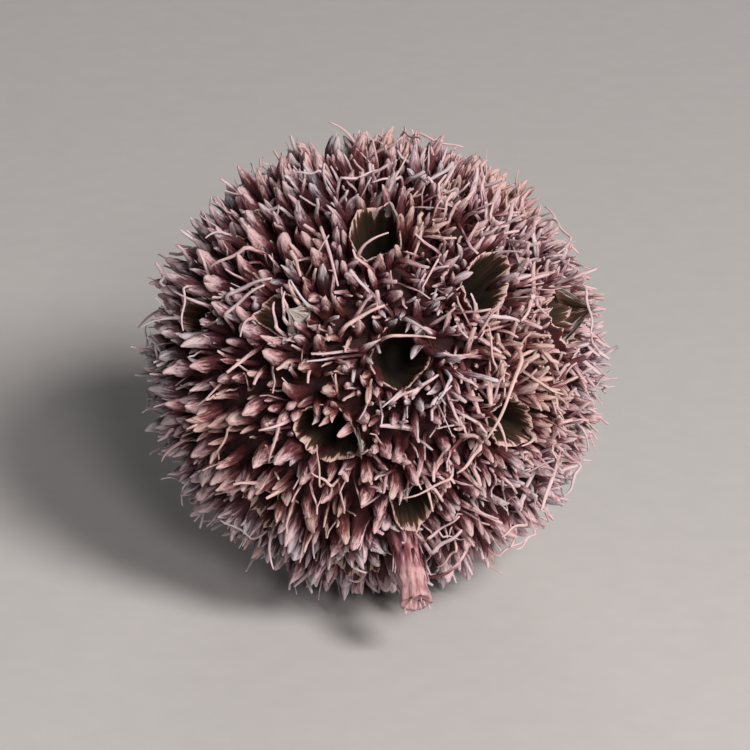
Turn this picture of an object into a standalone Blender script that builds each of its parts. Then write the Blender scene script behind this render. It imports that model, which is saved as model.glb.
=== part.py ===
"""A sweetgum seed ball: a woody head covered in spines and pitted with the open capsules that shed the seeds.

It lies as picked, on the spines under it. The origin is on the surface it rests on, under the head's centre.
The front, where most of the open capsules are placed by hand, looks along -Y.
"""

import math
import random

import bmesh
import bpy
from mathutils import Matrix, Quaternion, Vector

MM = 0.001
UP = Vector((0, 0, 1))
DOWN = -UP

# The ball, measured from its centre
TIP_RADIUS = 15.0 * MM  # out to the longest spines
HEAD_RADIUS = 12.1 * MM  # the woody head that everything grows from
HEAD_DETAIL = 3  # icosphere subdivisions
ROOT_DEPTH = 0.7 * MM  # how deep what grows on the head is rooted in it
RESTING_DEPTH = 0.6 * MM  # how far the spines that it rests on are worn flat
CENTRE = Vector((0, 0, TIP_RADIUS - RESTING_DEPTH))

# Capsules
CAPSULES = 37
CAPSULE_SIDES = 8
CAPSULE_SEED = 11
SPREADING_STEPS = 80
SPREADING_PUSH = 0.004
HALF_LENGTH = (1.45 * MM, 1.95 * MM)
HALF_WIDTH = (0.9 * MM, 1.35 * MM)
SHUT_HALF_WIDTH = 0.45 * MM
SHUT_SHARE = 0.2  # how many of the capsules never opened fully
POINTEDNESS = 1.35  # 1 is a lozenge with straight sides, 2 is an ellipse
LIP_RADIUS = 13.1 * MM  # where the valves end
LIP_WIDTH = 0.36 * MM
RIM_FOOT = 0.5 * MM  # how much wider the rim is at its foot
CAVITY_DEPTH = 4.2 * MM
CAVITY_FLOOR = 0.35  # the cavity's floor as a share of its mouth
CAVITY_TOP = 1.3  # the same share where the cut leaves the ball

# Azimuth, elevation and turn in degrees, half length and half width of the openings placed by hand
FRONT_OPENINGS = (
    (0, 62, 60, 1.75 * MM, 1.35 * MM),
    (42, 41, 40, 2.1 * MM, 1.15 * MM),
    (8, 27, 85, 1.8 * MM, 1.5 * MM),
    (-31, 35, 20, 1.6 * MM, 1.05 * MM),
    (-13, 5, -20, 1.95 * MM, 1.2 * MM),
    (11, -17, 75, 1.75 * MM, 1.2 * MM),
    (74, 22, 55, 1.7 * MM, 1.2 * MM),
    (39, 3, -35, 1.6 * MM, 1.15 * MM),
    (-8, -48, 100, 1.75 * MM, 1.2 * MM),
    (-58, -6, 40, 1.6 * MM, 0.5 * MM),
)

# Beaks, one at each end of an opening
BEAK_SEED = 23
BEAK_LENGTH = (2.0 * MM, 3.4 * MM)
BEAK_RADIUS = 0.34 * MM
BEAK_TAPER = 0.7  # what is lost of the radius by the tip
BEAK_SIDES = 3
BEAK_POINTS = 3
BEAK_BEND = (35, 95)  # degrees, from root to tip
BEAK_REACH = 15.3 * MM  # no beak stands further from the centre

# Spines
SPINE_SEED = 5
SPINE_PLACES = 9000
SPINE_GAP = 1.37 * MM  # the least distance between two spines, on the head
SPINE_CLEARANCE = 0.35 * MM  # from a lip's outer edge to the nearest spine
SPINE_RADIUS = (0.56 * MM, 0.7 * MM)
SPINE_SLIMMING = 0.12 * MM  # slimmer by this at the right, +X, and stouter at the left
SPINE_REACH = (14.0 * MM, 15.0 * MM)  # tips, from the centre
SPINE_LEAN = 12  # degrees
SPINE_SIDES = 3

# The ball rests on a thick blunt spine under the centre and three about it, all worn to one level
FOOT_RADII = (0.95 * MM, 0.76 * MM)
FOOT_SIDES = 6
STANDING_AT = ((30, -74), (150, -74), (270, -74))  # azimuth and elevation of the three
STANDING_RADII = (0.7 * MM, 0.42 * MM)
STANDING_REACH = 15.25 * MM  # before they are worn
TIP_CLEARANCE = 0.1 * MM  # from the surface to any other spine's tip, or more

# The stub of the broken stalk
STALK_AT = (10, -33)  # azimuth and elevation
STALK_RADII = (1.2 * MM, 0.8 * MM, 0.95 * MM)  # at its root, its waist and its broken end
STALK_REACH = 17.4 * MM
STALK_SIDES = 8

WOOD_COLOUR = (0.19, 0.098, 0.088, 1)
WOOD_ROUGHNESS = 0.72


def clear_scene():
    for obj in list(bpy.data.objects):
        bpy.data.objects.remove(obj)


def direction(azimuth, elevation):
    """A unit vector. Azimuth 0 is -Y and 90 is +X; elevation is above the horizon."""
    a, e = math.radians(azimuth), math.radians(elevation)
    return Vector((math.sin(a) * math.cos(e), -math.cos(a) * math.cos(e), math.sin(e)))


def spiral(count):
    """Directions spread over the whole ball along a golden spiral."""
    golden = math.pi * (3 - math.sqrt(5))
    for i in range(count):
        height = 1 - (2 * i + 1) / count
        ring = math.sqrt(1 - height * height)
        yield Vector((ring * math.cos(i * golden), ring * math.sin(i * golden), height))


def tangents(out):
    """Two unit vectors square to out: one level, and one that climbs the ball."""
    level = UP.cross(out)
    if level.length < 1e-6:
        level = Vector((1, 0, 0))
    level.normalize()
    return level, out.cross(level).normalized()


def spread_capsules():
    """Where the capsules stand: those placed by hand, and the rest pushed apart until they are even."""
    placed = [direction(opening[0], opening[1]) for opening in FRONT_OPENINGS]
    kept_clear = placed + [direction(*STALK_AT), DOWN]
    free = sorted(spiral(CAPSULES), key=lambda p: -min(p.angle(q) for q in kept_clear))
    free = free[: CAPSULES - len(placed)]
    for _ in range(SPREADING_STEPS):
        for i, here in enumerate(free):
            others = kept_clear + free[:i] + free[i + 1 :]
            push = sum(((here - q) / (here - q).length ** 3 for q in others), Vector())
            free[i] = (here + push * SPREADING_PUSH).normalized()
    return placed + free


class Capsule:
    """One capsule's opening: a lozenge whose long axis runs from beak to beak."""

    def __init__(self, out, turn, half_length, half_width):
        level, climb = tangents(out)
        turned = Quaternion(out, math.radians(turn))
        self.out = out
        self.long = turned @ level
        self.wide = turned @ climb
        self.half_length = half_length
        self.half_width = half_width

    def outline(self, angle, margin):
        """(along, across) of the opening's edge at an angle from its long axis, moved out by margin."""
        power = 2 / POINTEDNESS
        c, s = math.cos(angle), math.sin(angle)
        along = math.copysign(abs(c) ** power, c) * (self.half_length + margin)
        across = math.copysign(abs(s) ** power, s) * (self.half_width + margin)
        return along, across

    def at(self, along, across, radius):
        """A point over the opening, in the plane that is radius out from the ball's centre."""
        return CENTRE + self.out * radius + self.long * along + self.wide * across

    def holds(self, out, margin):
        """Whether a direction meets the head inside the opening's edge, moved out by margin."""
        if out.dot(self.out) <= 0:
            return False
        on_head = out * (HEAD_RADIUS / out.dot(self.out))
        along = abs(on_head.dot(self.long)) / (self.half_length + margin)
        across = abs(on_head.dot(self.wide)) / (self.half_width + margin)
        return along**POINTEDNESS + across**POINTEDNESS < 1


def all_capsules():
    draw = random.Random(CAPSULE_SEED)
    capsules = []
    for i, out in enumerate(spread_capsules()):
        turn = draw.uniform(0, 180)
        half_length = draw.uniform(*HALF_LENGTH)
        half_width = draw.uniform(*HALF_WIDTH)
        if draw.random() < SHUT_SHARE:
            half_width = SHUT_HALF_WIDTH
        if i < len(FRONT_OPENINGS):
            turn, half_length, half_width = FRONT_OPENINGS[i][2:]
        capsules.append(Capsule(out, turn, half_length, half_width))
    return capsules


def new_object(name, shape, collection):
    """Ends a bmesh as an object in the collection."""
    bmesh.ops.recalc_face_normals(shape, faces=shape.faces)
    mesh = bpy.data.meshes.new(name)
    shape.to_mesh(mesh)
    shape.free()
    obj = bpy.data.objects.new(name, mesh)
    collection.objects.link(obj)
    return obj


def bridge(shape, lower, upper):
    """Quads between two rings of the same number of corners."""
    for i in range(len(lower)):
        j = (i + 1) % len(lower)
        shape.faces.new((lower[i], lower[j], upper[j], upper[i]))


def thorn(name, path, radii, sides, turn, collection):
    """A closed thorn along a path: a ring for each radius, and then a point where the path goes on past them."""
    shape = bmesh.new()
    rings = []
    for i, radius in enumerate(radii):
        ahead = (path[min(i + 1, len(path) - 1)] - path[max(i - 1, 0)]).normalized()
        level, climb = tangents(ahead)
        ring = []
        for k in range(sides):
            angle = turn + math.tau * k / sides
            offset = level * math.cos(angle) + climb * math.sin(angle)
            ring.append(shape.verts.new(path[i] + offset * radius))
        rings.append(ring)
    shape.faces.new(rings[0])
    for lower, upper in zip(rings, rings[1:]):
        bridge(shape, lower, upper)
    if len(path) == len(radii):
        shape.faces.new(rings[-1])
    else:
        tip = shape.verts.new(path[-1])
        for i in range(sides):
            shape.faces.new((rings[-1][i], rings[-1][(i + 1) % sides], tip))
    return new_object(name, shape, collection)


def head(collection):
    """The round woody head, before anything is added or cut."""
    shape = bmesh.new()
    place = Matrix.Translation(CENTRE)
    bmesh.ops.create_icosphere(shape, subdivisions=HEAD_DETAIL, radius=HEAD_RADIUS, matrix=place)
    return new_object("seed_ball", shape, collection)


def capsule_ring(shape, capsule, margin, radius, share=1.0):
    """Corners round an opening."""
    ring = []
    for k in range(CAPSULE_SIDES):
        along, across = capsule.outline(math.tau * k / CAPSULE_SIDES, margin)
        ring.append(shape.verts.new(capsule.at(along * share, across * share, radius)))
    return ring


def frustum(name, lower, upper, shape, collection):
    """A closed solid between two rings."""
    shape.faces.new(lower)
    bridge(shape, lower, upper)
    shape.faces.new(upper)
    return new_object(name, shape, collection)


def rim(capsule, collection):
    """The two valves of a capsule as one raised rim, not yet hollow."""
    shape = bmesh.new()
    foot = capsule_ring(shape, capsule, RIM_FOOT + LIP_WIDTH, HEAD_RADIUS - ROOT_DEPTH)
    lip = capsule_ring(shape, capsule, LIP_WIDTH, LIP_RADIUS)
    return frustum("rim", foot, lip, shape, collection)


def cavity(capsule, collection):
    """What is cut out of a capsule, where its seeds were."""
    shape = bmesh.new()
    floor = capsule_ring(shape, capsule, 0, LIP_RADIUS - CAVITY_DEPTH, CAVITY_FLOOR)
    top = capsule_ring(shape, capsule, 0, TIP_RADIUS, CAVITY_TOP)
    return frustum("cavity", floor, top, shape, collection)


def beak(capsule, end, draw, collection):
    """The dry style at one end of an opening: it leaves the lip upright and bends over."""
    length = draw.uniform(*BEAK_LENGTH)
    bend = math.radians(draw.uniform(*BEAK_BEND))
    heading = Quaternion(capsule.out, draw.uniform(0, math.tau)) @ capsule.long
    axle = capsule.out.cross(heading)
    point = capsule.at((capsule.half_length + LIP_WIDTH) * end, 0, LIP_RADIUS - ROOT_DEPTH)
    steps = BEAK_POINTS - 1
    path = [point]
    radii = []
    for i in range(steps):
        ahead = Quaternion(axle, bend * i / (steps - 1)) @ capsule.out
        point = point + ahead * (length + ROOT_DEPTH) / steps
        if (point - CENTRE).length > BEAK_REACH:
            point = CENTRE + (point - CENTRE).normalized() * BEAK_REACH
        path.append(point)
        radii.append(BEAK_RADIUS * (1 - BEAK_TAPER * i / steps))
    thorn("beak", path, radii, BEAK_SIDES, draw.uniform(0, math.tau), collection)


def spine_places(capsules):
    """Directions of the spines: a fine spiral taken in a shuffled order, keeping those clear of all before."""
    places = list(spiral(SPINE_PLACES))
    random.Random(SPINE_SEED).shuffle(places)
    least = SPINE_GAP / HEAD_RADIUS
    round_stalk = (STALK_RADII[0] + SPINE_CLEARANCE) / HEAD_RADIUS
    round_foot = (FOOT_RADII[0] + SPINE_CLEARANCE) / HEAD_RADIUS
    standing = [direction(*at) for at in STANDING_AT]
    taken = list(standing)
    for place in places:
        if place.angle(direction(*STALK_AT)) < round_stalk or place.angle(DOWN) < round_foot:
            continue
        if any(capsule.holds(place, LIP_WIDTH + SPINE_CLEARANCE) for capsule in capsules):
            continue
        if all((place - other).length > least for other in taken):
            taken.append(place)
    return taken[len(standing) :]


def kept_up(root, tip):
    """The tip, drawn back along its spine as far as it takes to clear the surface."""
    if tip.z >= TIP_CLEARANCE:
        return tip
    return root + (tip - root) * ((root.z - TIP_CLEARANCE) / (root.z - tip.z))


def spine(out, draw, collection):
    """One spine, leaning a little off the straight way out."""
    axle = Vector([draw.gauss(0, 1) for _ in range(3)]).cross(out).normalized()
    lean = Quaternion(axle, math.radians(draw.uniform(0, SPINE_LEAN)))
    length = draw.uniform(*SPINE_REACH) - HEAD_RADIUS + ROOT_DEPTH
    radius = draw.uniform(*SPINE_RADIUS) - SPINE_SLIMMING * out.x
    root = CENTRE + out * (HEAD_RADIUS - ROOT_DEPTH)
    tip = kept_up(root, root + lean @ out * length)
    thorn("spine", [root, tip], [radius], SPINE_SIDES, draw.uniform(0, math.tau), collection)


def resting_spines(collection):
    """The thick blunt spine straight under the centre, and the three about it."""
    path = [CENTRE + DOWN * reach for reach in (HEAD_RADIUS - ROOT_DEPTH, TIP_RADIUS)]
    thorn("resting_spine", path, FOOT_RADII, FOOT_SIDES, 0, collection)
    for at in STANDING_AT:
        path = [CENTRE + direction(*at) * reach for reach in (HEAD_RADIUS - ROOT_DEPTH, STANDING_REACH)]
        thorn("standing_spine", path, STANDING_RADII, SPINE_SIDES, 0, collection)


def stalk_stub(collection):
    """What is left of the stalk, waisted between its root and its broken end."""
    waist = (HEAD_RADIUS + STALK_REACH) / 2
    stops = (HEAD_RADIUS - ROOT_DEPTH, waist, STALK_REACH)
    path = [CENTRE + direction(*STALK_AT) * stop for stop in stops]
    thorn("stalk_stub", path, STALK_RADII, STALK_SIDES, 0, collection)


def space_below(collection):
    """Everything under the surface that the ball rests on."""
    shape = bmesh.new()
    size = 4 * TIP_RADIUS
    place = Matrix.Translation(DOWN * size / 2)
    bmesh.ops.create_cube(shape, size=size, matrix=place)
    return new_object("space_below", shape, collection)


def helpers(name):
    """A collection for the pieces of one Boolean."""
    collection = bpy.data.collections.new(name)
    bpy.context.scene.collection.children.link(collection)
    return collection


def combine(obj, collection, operation):
    """Joins to obj, or cuts from it, all that the collection holds, and removes the collection."""
    modifier = obj.modifiers.new(collection.name, "BOOLEAN")
    modifier.operation = operation
    modifier.operand_type = "COLLECTION"
    modifier.collection = collection
    modifier.solver = "MANIFOLD"
    bpy.context.view_layer.update()
    graph = bpy.context.evaluated_depsgraph_get()
    mesh = bpy.data.meshes.new_from_object(obj.evaluated_get(graph))
    obj.modifiers.clear()
    obj.data = mesh
    for helper in list(collection.objects):
        bpy.data.objects.remove(helper)
    bpy.data.collections.remove(collection)


def drop_scraps(obj):
    """Keeps the largest connected piece: a cut can leave the tip of a thorn loose."""
    shape = bmesh.new()
    shape.from_mesh(obj.data)
    left = set(shape.verts)
    pieces = []
    while left:
        piece = []
        edge = [left.pop()]
        while edge:
            corner = edge.pop()
            piece.append(corner)
            found = {link.other_vert(corner) for link in corner.link_edges} & left
            left -= found
            edge.extend(found)
        pieces.append(piece)
    pieces.sort(key=len)
    scraps = [corner for piece in pieces[:-1] for corner in piece]
    bmesh.ops.delete(shape, geom=scraps, context="VERTS")
    shape.to_mesh(obj.data)
    shape.free()


def wood():
    material = bpy.data.materials.new("dry_wood")
    material.use_nodes = True
    shader = material.node_tree.nodes["Principled BSDF"]
    shader.inputs["Base Color"].default_value = WOOD_COLOUR
    shader.inputs["Roughness"].default_value = WOOD_ROUGHNESS
    return material


def seed_ball():
    """The whole ball: rims are joined to the head, the capsules hollowed, and all that grows out is joined."""
    capsules = all_capsules()
    ball = head(bpy.context.scene.collection)

    rims = helpers("rims")
    for capsule in capsules:
        rim(capsule, rims)
    combine(ball, rims, "UNION")

    cavities = helpers("cavities")
    for capsule in capsules:
        cavity(capsule, cavities)
    combine(ball, cavities, "DIFFERENCE")

    growths = helpers("growths")
    draw = random.Random(BEAK_SEED)
    for capsule in capsules:
        beak(capsule, -1, draw, growths)
        beak(capsule, 1, draw, growths)
    draw = random.Random(SPINE_SEED)
    for place in spine_places(capsules):
        spine(place, draw, growths)
    resting_spines(growths)
    stalk_stub(growths)
    combine(ball, growths, "UNION")

    below = helpers("below")
    space_below(below)
    combine(ball, below, "DIFFERENCE")
    drop_scraps(ball)
    ball.data.materials.clear()
    ball.data.materials.append(wood())


clear_scene()
seed_ball()
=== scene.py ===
"""The looks of a dried sweetgum seed ball, built round its solid.

The rule that places the solid's capsules, beaks and spines is repeated here, with the same seeds, so the
finer ones of this file stand where the solid's do. What the solid leaves out is added: thin valves, slimmer
spines between the main ones, bristles, stray threads and the fibres of the broken stalk.
"""

import math
import random

import bmesh
import bpy
import numpy as np
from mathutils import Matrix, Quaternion, Vector, noise


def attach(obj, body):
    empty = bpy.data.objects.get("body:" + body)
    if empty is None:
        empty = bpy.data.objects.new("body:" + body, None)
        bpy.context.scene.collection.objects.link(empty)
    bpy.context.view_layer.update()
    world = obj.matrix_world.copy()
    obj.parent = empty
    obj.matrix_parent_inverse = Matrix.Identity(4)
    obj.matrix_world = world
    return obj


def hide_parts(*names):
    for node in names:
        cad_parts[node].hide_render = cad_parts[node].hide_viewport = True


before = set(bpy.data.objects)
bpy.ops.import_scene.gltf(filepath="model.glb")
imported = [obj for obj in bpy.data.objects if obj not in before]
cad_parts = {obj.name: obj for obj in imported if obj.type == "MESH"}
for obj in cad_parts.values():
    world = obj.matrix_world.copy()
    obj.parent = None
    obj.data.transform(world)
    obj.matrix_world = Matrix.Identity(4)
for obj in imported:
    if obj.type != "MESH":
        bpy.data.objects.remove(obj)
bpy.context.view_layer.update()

bl_info = {
    "name": "Sweetgum seed ball",
    "version": (1, 0, 0),
    "blender": (4, 5, 0),
    "location": "3D View > Sidebar > Seed ball",
    "description": "Builds a dried sweetgum seed ball and the stage it is shown on",
    "category": "Object",
}

MM = 0.001
UP = Vector((0, 0, 1))
DOWN = -UP

# The solid's own sizes, measured from the ball's centre
TIP_RADIUS = 15.0 * MM
HEAD_RADIUS = 12.1 * MM
ROOT_DEPTH = 0.7 * MM
CENTRE = Vector((0, 0, TIP_RADIUS - 0.6 * MM))

# The solid's capsules
CAPSULES = 37
CAPSULE_SEED = 11
SPREADING_STEPS = 80
SPREADING_PUSH = 0.004
HALF_LENGTH = (1.45 * MM, 1.95 * MM)
HALF_WIDTH = (0.9 * MM, 1.35 * MM)
SHUT_HALF_WIDTH = 0.45 * MM
SHUT_SHARE = 0.2
POINTEDNESS = 1.35
LIP_RADIUS = 13.1 * MM
LIP_WIDTH = 0.36 * MM
RIM_FOOT = 0.5 * MM
CAVITY_DEPTH = 4.2 * MM
CAVITY_FLOOR = 0.35

# Azimuth, elevation and turn in degrees, half length and half width of the openings listed one by one
FRONT_OPENINGS = (
    (0, 62, 60, 1.75 * MM, 1.35 * MM),
    (42, 41, 40, 2.1 * MM, 1.15 * MM),
    (8, 27, 85, 1.8 * MM, 1.5 * MM),
    (-31, 35, 20, 1.6 * MM, 1.05 * MM),
    (-13, 5, -20, 1.95 * MM, 1.2 * MM),
    (11, -17, 75, 1.75 * MM, 1.2 * MM),
    (74, 22, 55, 1.7 * MM, 1.2 * MM),
    (39, 3, -35, 1.6 * MM, 1.15 * MM),
    (-8, -48, 100, 1.75 * MM, 1.2 * MM),
    (-58, -6, 40, 1.6 * MM, 0.5 * MM),
)

# The finer lips are rounder than the solid's
LIP_POINTEDNESS = (1.35, 1.75)

# How far the finer lips stand back from the solid's, being thinner
LIP_SHIFT = 0.22 * MM

# How many corners the finer lips have, how many steps lead down inside, and how far spines that lean over an
# opening lower its lip, in mm
RIM_CORNERS = 44
CAVITY_STEPS = 7
LIP_LOWERING = 0.6

# The outline of the valves that stayed up and of the row of spines round each opening
RIM_POINTEDNESS = 1.6

# Valves that stayed up: the angle of their middle, their spread, their height in mm, how far they lean in,
# and how brown they are inside
STANDING_VALVES = {
    0: (6.05, 0.75, 2.0, 0.35, 0.0),
    3: (5.9, 1.25, 1.8, 0.4, 0.0),
    4: (0.1, 0.8, 1.2, -0.35, 0.0),
    5: (0.9, 0.6, 1.0, -0.2, 0.0),
    6: (4.9, 1.3, 1.8, 0.25, 0.2),
}

# How far down in the lip those valves start
BLADE_FOOT = 0.7 * MM

# The solid's beaks
BEAK_SEED = 23
BEAK_LENGTH = (2.0 * MM, 3.4 * MM)
BEAK_STEPS = 2
BEAK_BEND = (35, 95)
BEAK_REACH = 15.3 * MM

# The solid's spines
SPINE_SEED = 5
SPINE_PLACES = 9000
SPINE_GAP = 1.37 * MM
SPINE_CLEARANCE = 0.35 * MM
SPINE_RADIUS = (0.56 * MM, 0.7 * MM)
SPINE_REACH = (14.0 * MM, 15.0 * MM)
SPINE_LEAN = 12
FOOT_RADII = (0.95 * MM, 0.76 * MM)
STANDING_AT = ((30, -74), (150, -74), (270, -74))
STANDING_RADII = (0.7 * MM, 0.42 * MM)
TIP_CLEARANCE = 0.1 * MM

# The solid's stalk
STALK_AT = (10, -33)
STALK_RADII = (1.2 * MM, 0.8 * MM, 0.95 * MM)
STALK_REACH = 17.4 * MM

# The finer stalk: where it broke, and its radius in mm at shares of its length, with a joint halfway
STALK_END = STALK_REACH - 0.25 * MM
STALK_PROFILE = (
    (0, 0.15, 0.45, 0.62, 0.68, 0.73, 0.8, 0.92, 1),
    (1.15, 1.0, 0.8, 0.78, 0.92, 0.9, 0.76, 0.92, 0.94),
)
SPLINTERS = 22
SPLINTER_SEED = 41

# How far out the slimmer spines, the row round each opening, the bristles and the straightest of those
# reach, in mm
FILLER_REACH = (13.1, 14.5)
RIM_REACH = (13.1, 14.4)
BRISTLE_REACH = (13.3, 14.9)
NEEDLE_REACH = (14.9, 15.4)

# The most slim spines that fill gaps, and how far they keep from the stalk and the foot
MOST_FILLERS = 3000
FILLER_CLEARANCE = 0.2 * MM

# How many spines stand round an opening, and what share of the bristles is long and straight
RIM_SPINES = (26, 30)
NEEDLE_SHARE = 0.07
BRISTLE_SEED = 71
THREAD_SEED = 97

# How much longer the fibres' pattern is along a strand than across it
GRAIN_STRETCH = 5

# Where the spines are slimmest and the bristles thickest: the right of the front
FINE_SIDE = (58, 28)

# Where the wood is most straw-coloured, and the openings round which it is bleached, as far as that angle
# The pull towards straw on this side, where the key light falls, and towards grey opposite it is partly
# painted light and shade.
WARM_SIDE = (40, 50)
BLEACHED = (2, 3)
BLEACHED_REACH = 0.27

# Where the three parts of the combing are read in the noise, which differ so that it turns with the place
COMBING_SHIFTS = ((3.1, 1.4, 7.2), (13.7, 4.3, 2.9), (5.5, 17.8, 11.6))

# Openings whose upper spines lean out over them, or off them if below 0, with their lips lower or higher to
# match
OVERHUNG = {1: -0.5, 2: 0.85, 4: 0.3}

# Where the spines stayed short: next to the stalk, and before the brown valve on the right
SHORT_SPOTS = ((STALK_AT, 1.6 * MM), ((63, 19), 1.3 * MM))
SHORTEST_SHARE = 0.45
SHORTENING = 2.5 * MM

# Threads listed one by one: azimuth and elevation of both ends, and how far over the head they lie, in mm
FRONT_THREADS = (
    ((0, 31), (17, 30), 1.7),
    ((-12, 31), (3, 39), 1.6),
    ((-52, 31), (-35, 42), 2.0),
    ((-49, 26), (-37, 40), 1.9),
    ((45, 27), (27, 4), 2.2),
    ((28, 4), (20, -4), 1.9),
    ((32, 33), (44, 29), 1.8),
    ((57, 36), (44, 29), 2.0),
    ((82, 29), (70, 17), 2.2),
    ((-24, 13), (-27, -3), 1.6),
    ((12, -6), (17, -12), 1.8),
    ((-33, 62), (-12, 43), 2.0),
    ((13, -30), (22, -20), 2.4),
    ((-47, 50), (-60, 38), 2.2),
    ((-36, 51), (-25, 44), 2.1),
    ((-70, 33), (-58, 22), 2.3),
    ((8, 15), (17, 21), 1.3),
    ((13, 12), (20, 18), 1.5),
    ((3, 14), (11, 18), 1.2),
    ((21, 22), (16, 15), 1.6),
    ((-26, 31), (-30, 40), 1.6),
    ((-25, 34), (-32, 41), 1.5),
    ((-28, 29), (-33, 37), 1.4),
    ((-23, 37), (-30, 43), 1.6),
)

# Azimuth and elevation in degrees, distance and size in metres, power in watts, and colour
LIGHTS = (
    ("key_light", (38, 40), 0.42, 0.13, 1.75, "#FFF9F6"),
    ("fill_light", (12, 30), 0.5, 0.1, 0.7, "#FFFAFA"),
    ("back_light", (180, 20), 0.5, 0.25, 0.4, "#FFFAF5"),
)

# Colour and strength of the light from all round
SKY = ("#ECEAFA", 0.065)

# Focal length and sensor width in mm, the share of the picture's width that the ball takes, and how many
# degrees the camera looks down
LENS = 200.0
SENSOR = 36.0
BALL_SHARE = 0.64
CAMERA_ELEVATION = 25


def linear(colour):
    """An sRGB hex colour as linear RGBA."""
    channels = [int(colour[i : i + 2], 16) / 255 for i in (1, 3, 5)]
    return [c / 12.92 if c <= 0.04045 else ((c + 0.055) / 1.055) ** 2.4 for c in channels] + [1.0]


def length_property(name, description, default):
    """A length, given in millimetres."""
    return bpy.props.FloatProperty(
        name=name, description=description, default=default * MM, min=0, unit="LENGTH", precision=5
    )


def colour_property(name, description, default):
    """A colour, given in sRGB hex."""
    return bpy.props.FloatVectorProperty(
        name=name, description=description, default=linear(default), size=4, min=0, max=1, subtype="COLOR"
    )


class SeedBallSizes(bpy.types.PropertyGroup):
    stout_spine: length_property("Stout spine", "Radius of the stoutest spines at the head", 0.68)
    slim_spine: length_property("Slim spine", "Radius of the slimmest spines at the head", 0.38)
    stout_gap: length_property("Stout gap", "Least room round a filling spine among stout ones", 0.97)
    slim_gap: length_property("Slim gap", "Least room round a filling spine among slim ones", 0.78)
    bristle: length_property("Bristle", "Radius of a bristle at its root", 0.17)
    bristles: bpy.props.IntProperty(name="Bristles", description="Bristles tried", default=4600, min=0)
    lip: length_property("Lip", "Thickness of a valve at its edge", 0.07)
    beak: length_property("Beak", "Radius of a beak at its root", 0.19)
    thread: length_property("Thread", "Radius of a stray thread", 0.09)
    threads: bpy.props.IntProperty(name="Threads", description="Threads drawn at random", default=60, min=0)


class SeedBallColours(bpy.types.PropertyGroup):
    # Root is painted shade: the dark colour the spines fade to towards their roots, for the shade down in the
    # gaps between them.
    root: colour_property("Root", "Dark end of the spines, down in the gaps", "#481416")
    grey_body: colour_property("Bleached body", "Middle of the bleached spines", "#67505B")
    pink_body: colour_property("Pink body", "Middle of most spines", "#884A53")
    straw_body: colour_property("Straw body", "Middle of the spines that dried yellower", "#8C524B")
    # The tips' paleness against the shafts is partly painted light, for the ends that catch the light while
    # the shafts stand in shade.
    grey_tip: colour_property("Bleached tip", "Worn ends of the bleached spines", "#CBC1C5")
    pink_tip: colour_property("Pink tip", "Worn ends of most spines", "#DBB9BB")
    straw_tip: colour_property("Straw tip", "Worn ends of the spines that dried yellower", "#D6B5AC")
    valve: colour_property("Valve", "Parchment edge of the capsules", "#CDAEA6")
    weathered: colour_property("Weathered valve", "Valves that stayed up, bleached grey", "#B4AFA8")
    membrane: colour_property("Membrane", "Inside of the valves, just under their edge", "#603E32")
    # Cavity is partly the capsules' own dark olive brown and partly painted shade, kept dark for the shade
    # inside the sockets.
    cavity: colour_property("Cavity", "Smooth inside of the capsules", "#34271A")
    # Head is partly the head's own dark reddish brown and partly painted shade, made near black for the gaps
    # between the spines.
    head: colour_property("Head", "The woody head between the spines", "#22090A")
    stalk: colour_property("Stalk", "Bark of the stalk", "#B88A8B")
    floor: colour_property("Floor", "The floor and backdrop", "#C9C7C4")


def direction(azimuth, elevation):
    """A unit vector. Azimuth 0 is -Y and 90 is +X; elevation is above the horizon."""
    a, e = math.radians(azimuth), math.radians(elevation)
    return Vector((math.sin(a) * math.cos(e), -math.cos(a) * math.cos(e), math.sin(e)))


def spiral(count):
    """Directions spread over the whole ball along a golden spiral."""
    golden = math.pi * (3 - math.sqrt(5))
    for i in range(count):
        height = 1 - (2 * i + 1) / count
        ring = math.sqrt(1 - height * height)
        yield Vector((ring * math.cos(i * golden), ring * math.sin(i * golden), height))


def tangents(out):
    """Two unit vectors square to out: one level, and one that climbs the ball."""
    level = UP.cross(out)
    if level.length < 1e-6:
        level = Vector((1, 0, 0))
    level.normalize()
    return level, out.cross(level).normalized()


def spread_capsules():
    """Where the capsules stand: those listed, and the rest pushed apart until they are even."""
    placed = [direction(opening[0], opening[1]) for opening in FRONT_OPENINGS]
    kept_clear = placed + [direction(*STALK_AT), DOWN]
    free = sorted(spiral(CAPSULES), key=lambda p: -min(p.angle(q) for q in kept_clear))
    free = free[: CAPSULES - len(placed)]
    for _ in range(SPREADING_STEPS):
        for i, here in enumerate(free):
            others = kept_clear + free[:i] + free[i + 1 :]
            push = sum(((here - q) / (here - q).length ** 3 for q in others), Vector())
            free[i] = (here + push * SPREADING_PUSH).normalized()
    return placed + free


class Capsule:
    """One capsule's opening: a lozenge whose long axis runs from beak to beak."""

    def __init__(self, out, turn, half_length, half_width):
        level, climb = tangents(out)
        turned = Quaternion(out, math.radians(turn))
        self.out = out
        self.long = turned @ level
        self.wide = turned @ climb
        self.half_length = half_length
        self.half_width = half_width

    def outline(self, angle, margin, pointedness):
        """(along, across) of the opening's edge at an angle from its long axis, moved out by margin."""
        power = 2 / pointedness
        c, s = math.cos(angle), math.sin(angle)
        along = math.copysign(abs(c) ** power, c) * (self.half_length + margin)
        across = math.copysign(abs(s) ** power, s) * (self.half_width + margin)
        return along, across

    def at(self, along, across, radius):
        """A point over the opening, in the plane that is radius out from the ball's centre."""
        return CENTRE + self.out * radius + self.long * along + self.wide * across

    def holds(self, out, margin):
        """Whether a direction meets the head inside the opening's edge, moved out by margin."""
        if out.dot(self.out) <= 0:
            return False
        on_head = out * (HEAD_RADIUS / out.dot(self.out))
        along = abs(on_head.dot(self.long)) / (self.half_length + margin)
        across = abs(on_head.dot(self.wide)) / (self.half_width + margin)
        return along**POINTEDNESS + across**POINTEDNESS < 1


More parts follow.
